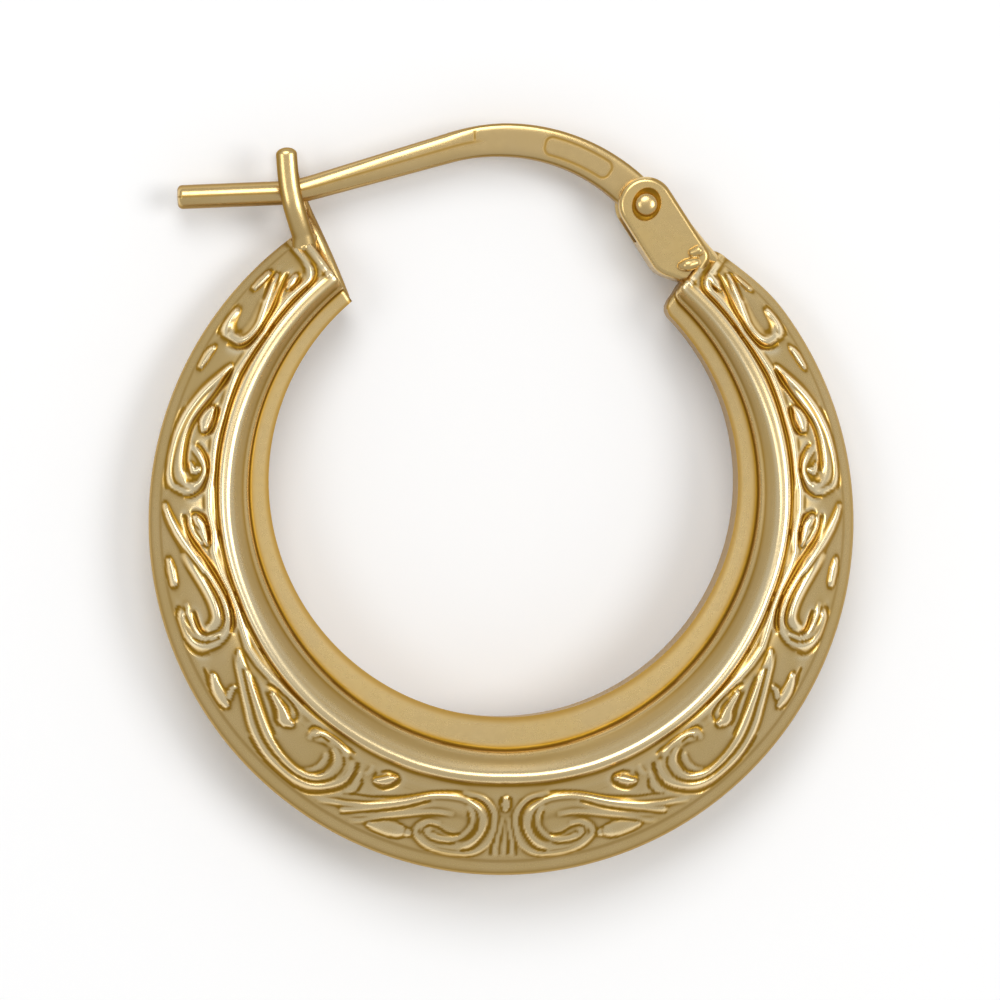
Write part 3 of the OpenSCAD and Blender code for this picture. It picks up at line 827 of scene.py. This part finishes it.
hinge = {
    "pin": (4.05, 8.97),
    "discs": [((4.05, 8.97), 0.78), ((4.85, 7.65), 0.75), ((5.2, 7.22), 0.46), ((5.5, 7.5), 0.36)],
    "discPoints": 180,
    "outlinePoints": 120,
    "earHalf": 0.78,
    "slotHalf": 0.43,
    "slotReach": 0.78,
    "cutterSize": 4.0,
    "dish": (0.42, 0.50, 0.135),  # half width, half length and depth
    "dishLift": 0.08,  # height over the ear of the ball that cuts it
    "dishWider": 1.06,
    "dishTurn": -0.35,
    "hole": 0.235,
    "edge": (0.15, 5, 50),  # width, steps, and degrees past which an edge is bevelled
    "smallEdge": (0.022, 2, 38),
    # painted shade in the dishes round the rivet and on the right-hand walls of the ears
    "dishTone": (1.1, 0.5, 0.012),  # reach round the dish, lowest height, mm below the face
    "sideTone": (0.75, 0.5, 0.03),  # tone, mm to the right of the middle, fade below the face
    "sharperThan": 35,
}


def leftOf(start, end, point):  # above 0 where the point lies to the left of the way from start to end
    return (end[0] - start[0]) * (point[1] - start[1]) - (end[1] - start[1]) * (point[0] - start[0])


def lengthAlong(line):
    return np.concatenate([[0], np.cumsum(np.linalg.norm(np.diff(line, axis=0), axis=1))])


# Even points round the tightest line about some discs
def hullOf(discs, count):
    turn = np.linspace(0, 2 * np.pi, hinge["discPoints"] + 1)[:-1]
    cloud = [(spot[0] + radius * math.cos(a), spot[1] + radius * math.sin(a))
             for spot, radius in discs for a in turn]
    cloud = sorted(set((round(x, 6), round(y, 6)) for x, y in cloud))

    def half(points):
        kept = []
        for point in points:
            while len(kept) > 1 and leftOf(kept[-2], kept[-1], point) <= 0:
                kept.pop()
            kept.append(point)
        return kept[:-1]

    ring = np.array(half(cloud) + half(cloud[::-1]))
    ring = np.vstack([ring, ring[:1]])
    length = lengthAlong(ring)
    at = np.linspace(0, length[-1], count + 1)[:-1]
    return np.stack([np.interp(at, length, column) for column in ring.T], axis=1)


def earPlate():
    outline = hullOf(hinge["discs"], hinge["outlinePoints"])
    nothingSelected()
    bpy.ops.mesh.primitive_circle_add(vertices=len(outline), radius=1, fill_type="NGON")
    plate = named("hinge_ears")
    movePoints(plate, np.column_stack([outline, np.full(len(outline), -hinge["earHalf"])]))
    bpy.ops.object.mode_set(mode="EDIT")
    bpy.ops.mesh.select_all(action="SELECT")
    bpy.ops.mesh.extrude_region_move(TRANSFORM_OT_translate={"value": (0, 0, 2 * hinge["earHalf"])})
    bpy.ops.object.mode_set(mode="OBJECT")
    closedAndOutward(plate)
    bevelled(plate, *hinge["edge"])
    return plate


def slotCutter(toRoot):
    pinX, pinY = hinge["pin"]
    size = hinge["cutterSize"]
    middle = hinge["slotReach"] - size / 2
    spot = (pinX + middle * math.cos(toRoot), pinY + middle * math.sin(toRoot), 0)
    nothingSelected()
    bpy.ops.mesh.primitive_cube_add(size=1, location=spot, rotation=(0, 0, toRoot))
    cutter = named("slotCutter")
    cutter.scale = (size, size, 2 * hinge["slotHalf"])
    placeInMesh(cutter)
    return cutter


def dishCutter(side):
    wide, long, deep = hinge["dish"]
    spot = (*hinge["pin"], side * (hinge["earHalf"] + hinge["dishLift"]))
    nothingSelected()
    bpy.ops.mesh.primitive_uv_sphere_add(segments=64, ring_count=32, radius=1, location=spot,
                                         rotation=(0, 0, hinge["dishTurn"]))
    cutter = named("dishCutter")
    cutter.scale = (wide * hinge["dishWider"], long * hinge["dishWider"], deep + hinge["dishLift"])
    placeInMesh(cutter)
    return cutter


# Painted shade in the dishes round the rivet and on the right-hand walls, as in the photo
def earTone(spots, toRoot):
    x, y = (spots[:, :2] - np.array(hinge["pin"])).T
    height = np.abs(spots[:, 2])
    wide, long = hinge["dish"][:2]
    around, lowest, belowTop = hinge["dishTone"]
    inDish = np.hypot(x / (wide * around), y / (long * around)) < 1
    sunk = inDish & (height > lowest) & (height < hinge["earHalf"] - belowTop)
    toRight = y * math.cos(toRoot) - x * math.sin(toRoot)
    tone, rightOf, fade = hinge["sideTone"]
    wall = 1 - smoothStep(hinge["earHalf"] - fade, hinge["earHalf"], height)
    return np.where(inDish, sunk * 1.0, tone * (toRight > rightOf) * wall)


def makeEars():
    ears = earPlate()
    (pinX, pinY), (rootX, rootY) = hinge["pin"], hinge["discs"][1][0]
    toRoot = math.atan2(rootY - pinY, rootX - pinX)
    cutAway(ears, slotCutter(toRoot))
    for side in (1, -1):
        cutAway(ears, dishCutter(side))
    cutAway(ears, roundRod("holeCutter", hinge["hole"], hinge["cutterSize"], hinge["pin"]))
    bevelled(ears, *hinge["smallEdge"])
    addTone(ears, "groove", earTone(pointsOf(ears), toRoot))
    layDown(ears, "hoop", castGold, hinge["sharperThan"])
    applyModifier(ears, "WEIGHTED_NORMAL", keep_sharp=True, weight=100)
    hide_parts("hoop")


makeEars()
print("hinge ears made")


solder = {
    "grain": 0.022,
    "step": 0.05,
    "softness": 0.5,
    "rounds": 12,
    "sharperThan": 60,
    # each drop or fillet runs along a line: x, y, z and radius
    "hinge_solder": [
        [(5.04, 7.22, 0.84, 0.13), (5.20, 7.25, 0.88, 0.20), (5.42, 7.32, 0.87, 0.17)],
        [(5.36, 7.60, 0.84, 0.14), (5.52, 7.66, 0.85, 0.17)],
        [(5.10, 8.60, 0.26, 0.08), (5.26, 8.34, 0.32, 0.14), (5.43, 8.04, 0.38, 0.19),
         (5.58, 7.80, 0.40, 0.22), (5.76, 7.58, 0.32, 0.24), (5.94, 7.42, 0.20, 0.22)],
        [(5.50, 7.30, 0.45, 0.32), (5.62, 7.42, 0.0, 0.38), (5.50, 7.30, -0.45, 0.32)],
        [(4.96, 7.20, -0.73, 0.11), (5.22, 7.28, -0.77, 0.17), (5.52, 7.42, -0.70, 0.14)],
    ],
    "catch_solder": [
        [(-5.62, 7.76, 0.26, 0.23), (-5.48, 7.72, 0.05, 0.26), (-5.32, 7.80, -0.24, 0.22)],
        [(-5.52, 8.02, 0.10, 0.16), (-5.36, 7.98, -0.10, 0.20)],
    ],
}


def solderBalls(run):
    run = np.array(run)
    length = lengthAlong(run[:, :3])
    at = np.linspace(0, length[-1], int(length[-1] / solder["step"]) + 2)
    balls = []
    for x, y, z, size in np.stack([np.interp(at, length, column) for column in run.T], axis=1):
        nothingSelected()
        bpy.ops.mesh.primitive_uv_sphere_add(segments=24, ring_count=12, radius=size, location=(x, y, z))
        balls.append(bpy.context.active_object)
    return balls


def makeSolder(name):
    balls = [ball for run in solder[name] for ball in solderBalls(run)]
    nothingSelected()
    for ball in balls:
        ball.select_set(True)
    bpy.context.view_layer.objects.active = balls[0]
    bpy.ops.object.join()
    piece = named(name)
    placeInMesh(piece)
    applyModifier(piece, "REMESH", mode="VOXEL", voxel_size=solder["grain"])
    applyModifier(piece, "SMOOTH", factor=solder["softness"], iterations=solder["rounds"])
    layDown(piece, "hoop", castGold, solder["sharperThan"])
    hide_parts("hoop")


makeSolder("hinge_solder")
makeSolder("catch_solder")
print("solder made")


rivetLook = {
    "shank": 0.22,
    "seat": 0.675,
    # radius and height over the seat
    "dome": [(0.325, 0.0), (0.335, 0.03), (0.325, 0.07), (0.295, 0.115), (0.245, 0.155), (0.18, 0.182),
             (0.10, 0.195), (0.03, 0.199)],
    "nearSeat": 0.01,
    "sharperThan": 60,
}


def selectEnd(rivet, side):
    bpy.ops.object.mode_set(mode="EDIT")
    bpy.ops.mesh.select_mode(type="FACE")
    bpy.ops.mesh.select_all(action="DESELECT")
    bpy.ops.object.mode_set(mode="OBJECT")
    for face in rivet.data.polygons:
        atSeat = face.center.z * side > rivetLook["seat"] - rivetLook["nearSeat"]
        face.select = face.normal.z * side > 0.9 and atSeat
    bpy.ops.object.mode_set(mode="EDIT")


def makeRivet():
    rivet = roundRod("rivet_head", rivetLook["shank"], 2 * rivetLook["seat"], hinge["pin"])
    for side in (1, -1):
        selectEnd(rivet, side)
        radius, height = rivetLook["shank"], 0.0
        for newRadius, newHeight in rivetLook["dome"]:
            bpy.ops.mesh.extrude_region_move(
                TRANSFORM_OT_translate={"value": (0, 0, side * (newHeight - height))})
            grow = newRadius / radius
            middle = (*hinge["pin"], side * (rivetLook["seat"] + newHeight))
            bpy.ops.transform.resize(value=(grow, grow, 1), center_override=middle)
            radius, height = newRadius, newHeight
        bpy.ops.object.mode_set(mode="OBJECT")
    closedAndOutward(rivet, 1e-6)
    layDown(rivet, "hoop", wireGold, rivetLook["sharperThan"])
    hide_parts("rivet")


makeRivet()
print("rivet made")


# Rings round a centre line, closed at both ends. Squareness 1 gives round rings, less gives
# squarer ones.
def sweep(name, centres, widths, depths, squareness, sides):
    tangent = np.gradient(centres, axis=0)
    tangent /= np.linalg.norm(tangent, axis=1)[:, None]
    side = np.cross(tangent, np.array([0, 0, 1.0]))
    side /= np.linalg.norm(side, axis=1)[:, None]
    other = np.cross(side, tangent)
    finerPerSide = 40
    turn = np.linspace(0, 2 * np.pi, finerPerSide * sides + 1)
    rings = []
    for centre, sideways, outwards, wide, deep, square in zip(
            centres, side, other, widths, depths, squareness):
        across = wide * np.sign(np.cos(turn)) * np.abs(np.cos(turn)) ** square
        upright = deep * np.sign(np.sin(turn)) * np.abs(np.sin(turn)) ** square
        length = lengthAlong(np.stack([across, upright], axis=1))
        even = np.linspace(0, length[-1], sides + 1)
        rings.append(centre + np.outer(np.interp(even, length, across), sideways)
                     + np.outer(np.interp(even, length, upright), outwards))
    rings = np.array(rings)
    first = np.broadcast_to(centres[0], rings[:1].shape)
    last = np.broadcast_to(centres[-1], rings[:1].shape)
    piece = sheetOfPoints(name, np.concatenate([first, rings, last], axis=0))
    closedAndOutward(piece, 1e-5)
    return piece


def nearestStep(spots, line):
    return np.argmin(((spots[:, None, :] - line[None, :, :]) ** 2).sum(axis=2), axis=1)


earWire = {
    "archX": 0.05,
    "archRadius": 5.3,
    "topAngle": 90,
    "archEnd": 106.5,
    "archSteps": 200,
    "hingeHalf": 0.54,
    "topHalf": 0.475,
    "bendHalf": 0.421,
    "bendSteps": 22,
    "bendSoftness": (2.0, 5.0),  # in steps: how soft, and how far from the kink
    "kink": (-5.85, 9.3),
    "post": 0.34,
    "postSteps": 30,
    "tip": (-9.18, 9.16),
    "tipRound": 0.14,
    "tipSteps": 8,
    "sides": 96,
    "depthHalf": 0.37,
    "depthFade": (-12, -1),  # in steps past the kink
    "squareness": [(-50, 0.3), (-14, 0.58), (2, 1.0)],  # steps past the kink
    "eye": 0.62,
    "eyeHalf": 0.40,
    "eyeSides": 72,
    "eyeEdge": (0.07, 4, 50),
    "bore": 0.25,
    "sharperThan": 50,
    # tones of painted shade on the wire's sides and near its edges: how dark, then where each starts and is
    # full, as shares of the half depth or width
    "sideTone": (0.9, 0.45, 0.85),
    "edgeTone": (0.9, 0.80, 0.92),
    "toneStart": (12, 26),  # steps from the hinge
    # a painted dark reflection line along the post
    "postLine": (0.9, -0.02, 0.11),  # tone, place and half width
    "postLineStart": (162, 182),
    "postLineLevel": 0.5,
    "frontLevel": 0.8,
    "plate": {"turn": 66.5, "halfLength": 1.0, "halfWidth": 0.26, "corner": 0.2, "line": 0.045,
              "depth": 0.005, "sunkShare": 0.5},
    "tick": {"spot": (-0.79, 10.92), "halfLength": 0.13, "line": 0.035, "depth": 0.006},
}


# Middle of the arch, then the wire's centre line and half width, and the step where the kink is
def wireLine():
    pin, kink, tip = (np.array(spot) for spot in (hinge["pin"], earWire["kink"], earWire["tip"]))
    radius = earWire["archRadius"]
    toPin = pin[0] - earWire["archX"]
    middle = np.array([earWire["archX"], pin[1] - math.sqrt(radius ** 2 - toPin ** 2)])
    start = math.degrees(math.acos(toPin / radius))
    turn = np.linspace(start, earWire["archEnd"], earWire["archSteps"])
    arch = middle + radius * np.stack([np.cos(np.radians(turn)), np.sin(np.radians(turn))], axis=1)
    archHalf = np.interp(turn, [start, earWire["topAngle"], earWire["archEnd"]],
                         [earWire["hingeHalf"], earWire["topHalf"], earWire["bendHalf"]])
    bend = arch[-1] + np.outer(np.linspace(0, 1, earWire["bendSteps"])[1:], kink - arch[-1])
    bendHalf = np.linspace(earWire["bendHalf"], earWire["post"], earWire["bendSteps"])[1:]
    postLength = np.linalg.norm(tip - kink)
    way = (tip - kink) / postLength
    post = kink + np.outer(np.linspace(0, postLength - earWire["tipRound"], earWire["postSteps"])[1:], way)
    postHalf = np.full(len(post), earWire["post"])
    curve = np.linspace(0, np.pi / 2, earWire["tipSteps"])[1:]
    end = tip - np.outer(earWire["tipRound"] * (1 - np.sin(curve)), way)
    endHalf = earWire["post"] - earWire["tipRound"] * (1 - np.cos(curve))
    line = np.concatenate([arch, bend, post, end])
    half = np.concatenate([archHalf, bendHalf, postHalf, endHalf])
    kinkStep = len(arch) + len(bend)
    softness, nearKink = earWire["bendSoftness"]
    mixing = bell(np.arange(len(line)) - kinkStep, nearKink)[:, None]
    return middle, line * (1 - mixing) + softened(line, softness, 0) * mixing, half, kinkStep


# Painted shade on the wire's sides and along its edges, and a painted dark reflection line along the post
def wireTone(spots, line, half, depth, nearest):
    level = np.abs(spots[:, 2]) / depth[nearest]
    way = np.gradient(line, axis=0)
    way /= np.linalg.norm(way, axis=1)[:, None]
    fromLine = spots[:, :2] - line[nearest]
    aside = (fromLine[:, 1] * way[nearest, 0] - fromLine[:, 0] * way[nearest, 1]) / half[nearest]
    sideTone, *sideEnds = earWire["sideTone"]
    edgeTone, *edgeEnds = earWire["edgeTone"]
    tone = np.maximum(sideTone * (1 - smoothStep(*sideEnds, level)),
                      edgeTone * smoothStep(*edgeEnds, np.abs(aside)))
    tone = tone * smoothStep(*earWire["toneStart"], nearest)
    lineTone, linePlace, lineWidth = earWire["postLine"]
    postLine = lineTone * bell(aside - linePlace, lineWidth) * (level > earWire["postLineLevel"])
    return np.maximum(tone, postLine * smoothStep(*earWire["postLineStart"], nearest))


# Distance outwards from the outline of the bare plate on the arch
def fromPlate(spots, middle):
    plate = earWire["plate"]
    x, y = (spots[:, :2] - middle).T
    turn = np.degrees(np.arctan2(y, x)) - plate["turn"]
    along = np.abs(np.radians(turn) * earWire["archRadius"]) - plate["halfLength"] + plate["corner"]
    beside = np.abs(np.hypot(x, y) - earWire["archRadius"]) - plate["halfWidth"] + plate["corner"]
    atCorner = np.hypot(np.maximum(along, 0), np.maximum(beside, 0))
    return atCorner + np.minimum(np.maximum(along, beside), 0) - plate["corner"]


def engrave(wire, middle, line, half, depth):
    spots = pointsOf(wire)
    nearest = nearestStep(spots[:, :2], line)
    front = spots[:, 2] > earWire["frontLevel"] * depth[nearest]
    plate, tick = earWire["plate"], earWire["tick"]
    edge = fromPlate(spots, middle)
    outline = front * bell(edge, plate["line"])
    sunk = front * (1 - smoothStep(-plate["line"], plate["line"], edge))
    x, y = (spots[:, :2] - np.array(tick["spot"])).T
    onTick = front * bell(x, tick["line"]) * (np.abs(y) < tick["halfLength"])
    # the plate's outline and the tick are cut a little and darkened with painted shade
    tone = np.maximum(wireTone(spots, line, half, depth, nearest), np.maximum(outline, onTick))
    spots[:, 2] -= plate["depth"] * (outline + plate["sunkShare"] * sunk) + tick["depth"] * onTick
    movePoints(wire, spots)
    addTone(wire, "groove", tone)


def makeEarWire():
    middle, line, half, kinkStep = wireLine()
    pastKink = np.arange(len(line)) - kinkStep
    depth = np.minimum(half, earWire["depthHalf"])
    depth[:kinkStep] = np.interp(pastKink[:kinkStep], earWire["depthFade"],
                                 [earWire["depthHalf"], earWire["post"]])
    wire = sweep("ear_wire_arm", np.column_stack([line, np.zeros(len(line))]), half, depth,
                 tableAt(pastKink, earWire["squareness"]), earWire["sides"])
    eye = roundRod("ear_wire_eye", earWire["eye"], 2 * earWire["eyeHalf"], hinge["pin"],
                   earWire["eyeSides"])
    bevelled(eye, *earWire["eyeEdge"])
    applyModifier(wire, "BOOLEAN", operation="UNION", object=eye, solver="EXACT")
    bpy.data.objects.remove(eye, do_unlink=True)
    cutAway(wire, roundRod("boreCutter", earWire["bore"], hinge["cutterSize"], hinge["pin"]))
    engrave(wire, middle, line, half, depth)
    layDown(wire, "ear_wire", wireGold, earWire["sharperThan"])
    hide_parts("ear_wire")


makeEarWire()
print("ear wire made")


catch = {
    "radius": 0.2,
    "lineSteps": 8,
    "tipSteps": 9,
    "thinnest": 1e-4,
    "sides": 40,
    # painted shade on the prongs' sides: how dark, then where it starts and is full, as shares of the radius
    "sideTone": (0.9, 0.5, 0.92),
    "sharperThan": 60,
    # each prong: its line, how much wider than deep it is, the radius of its foot and how many
    # steps that takes to thin out
    "prongs": {
        "catch_prong_front": {
            "line": [(-5.60, 7.66, 0.20), (-5.66, 8.04, 0.33), (-5.77, 8.38, 0.47), (-5.93, 8.89, 0.60),
                     (-6.04, 9.39, 0.61), (-6.10, 9.85, 0.61), (-6.14, 10.36, 0.61)],
            "wider": 1.5,
            "foot": 0.24,
            "footSteps": 10,
        },
        "catch_prong_back": {
            "line": [(-4.49, 6.30, 0.0), (-4.75, 6.95, 0.0), (-5.03, 7.60, -0.05), (-5.24, 8.08, -0.20),
                     (-5.40, 8.45, -0.42), (-5.55, 8.80, -0.60), (-5.84, 9.55, -0.61), (-6.00, 10.30, -0.61)],
            "wider": 1.0,
            "foot": 0.19,
            "footSteps": 34,
        },
    },
}


def makeProng(name):
    prong = catch["prongs"][name]
    line = smoothLine(prong["line"], catch["lineSteps"])
    radius = np.interp(np.arange(len(line)), [0, prong["footSteps"]], [prong["foot"], catch["radius"]])
    way = (line[-1] - line[-2]) / np.linalg.norm(line[-1] - line[-2])
    curve = np.linspace(0, np.pi / 2, catch["tipSteps"])[1:]
    line = np.vstack([line, line[-1] + np.outer(catch["radius"] * np.sin(curve), way)])
    radius = np.concatenate([radius, np.maximum(catch["thinnest"], catch["radius"] * np.cos(curve))])
    piece = sweep(name, line, radius * prong["wider"], radius, np.ones(len(line)), catch["sides"])
    spots = pointsOf(piece)
    level = np.abs(spots[:, 2] - line[nearestStep(spots, line), 2]) / catch["radius"]
    sideTone, *sideEnds = catch["sideTone"]
    # painted shade on the prong's sides
    addTone(piece, "groove", sideTone * (1 - smoothStep(*sideEnds, level)))
    layDown(piece, "hoop", castGold, catch["sharperThan"])
    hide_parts("hoop")


for prongName in catch["prongs"]:
    makeProng(prongName)
print("catch made")


studio = {
    "floorSize": 3,
    "floorDrop": 0.00002,
    "paper": (rgb(0.96, 0.96, 0.96), rgb(0.94, 0.94, 0.94)),
    "paperGrain": (900.0, 3.0, 0.5),
    "paperMix": 0.3,
    "paperRoughness": (0.9, 0.05),
    "paperSheen": 0.1,
    "roomColour": rgb(1.0, 1.0, 1.0),
    "roomStrength": 0.52,
    "lamps": [
        # name, place, size and power
        ("leftBox", (-0.36, 0.03, 0.47), 0.24, 0.36),
        ("upperBox", (-0.05, 0.34, 0.47), 0.36, 1.15),
        ("rightBox", (0.36, 0.05, 0.47), 0.28, 0.95),
    ],
}


def paperFinish():
    board = Board("paleSweep")
    grain = board.noise(board.objectPlace(), *studio["paperGrain"])
    tone = board.mixed(grain * studio["paperMix"], *studio["paper"])
    rough, roughGrain = studio["paperRoughness"]
    shader = board.node("ShaderNodeBsdfPrincipled", None, {
        "Base Color": tone, "Roughness": rough + grain * roughGrain,
        "Specular IOR Level": studio["paperSheen"]})
    return board.shown(shader)


def makeFloor():
    nothingSelected()
    bpy.ops.mesh.primitive_plane_add(size=studio["floorSize"], location=(0, 0, -studio["floorDrop"]))
    floor = named("floor_sheet")
    floor.data.materials.append(paperFinish())


def lightRoom():
    world = bpy.data.worlds.new("softRoom")
    bpy.context.scene.world = world
    world.use_nodes = True
    backdrop = world.node_tree.nodes["Background"]
    backdrop.inputs["Color"].default_value = studio["roomColour"]
    backdrop.inputs["Strength"].default_value = studio["roomStrength"]
    for name, place, size, power in studio["lamps"]:
        nothingSelected()
        bpy.ops.object.light_add(type="AREA", location=place)
        lamp = bpy.context.active_object
        lamp.name = name
        lamp.data.shape = "DISK"
        lamp.data.size = size
        lamp.data.energy = power
        lamp.rotation_euler = (-Vector(place)).to_track_quat("-Z", "Y").to_euler()


view = {
    "aim": (-0.045, 0.609, 0.0),
    "lens": 480.0,
    "filmWidth": 36.0,
    "frameWidth": 28.30,
    "nearest": 0.005,
    "furthest": 10,
}


def placeCamera():
    nothingSelected()
    bpy.ops.object.camera_add()
    camera = bpy.context.active_object
    camera.name = "photoCamera"
    camera.data.lens = view["lens"]
    camera.data.sensor_width = view["filmWidth"]
    camera.data.clip_start = view["nearest"]
    camera.data.clip_end = view["furthest"]
    turn = math.radians(lying["seenFromLeft"])
    away = Vector((-math.sin(turn), 0, math.cos(turn)))
    distance = view["frameWidth"] / view["filmWidth"] * view["lens"]
    seenFrom = toRest @ (Vector(view["aim"]) + distance * away)
    axes = [(toRest.to_3x3() @ Vector(axis)).normalized()
            for axis in ((math.cos(turn), 0, math.sin(turn)), (0, 1, 0), away)]
    camera.matrix_world = Matrix.Translation(seenFrom) @ Matrix(axes).transposed().to_4x4()
    bpy.context.scene.camera = camera


makeFloor()
lightRoom()
placeCamera()
bpy.context.scene.view_settings.view_transform = "Standard"
print("studio made")
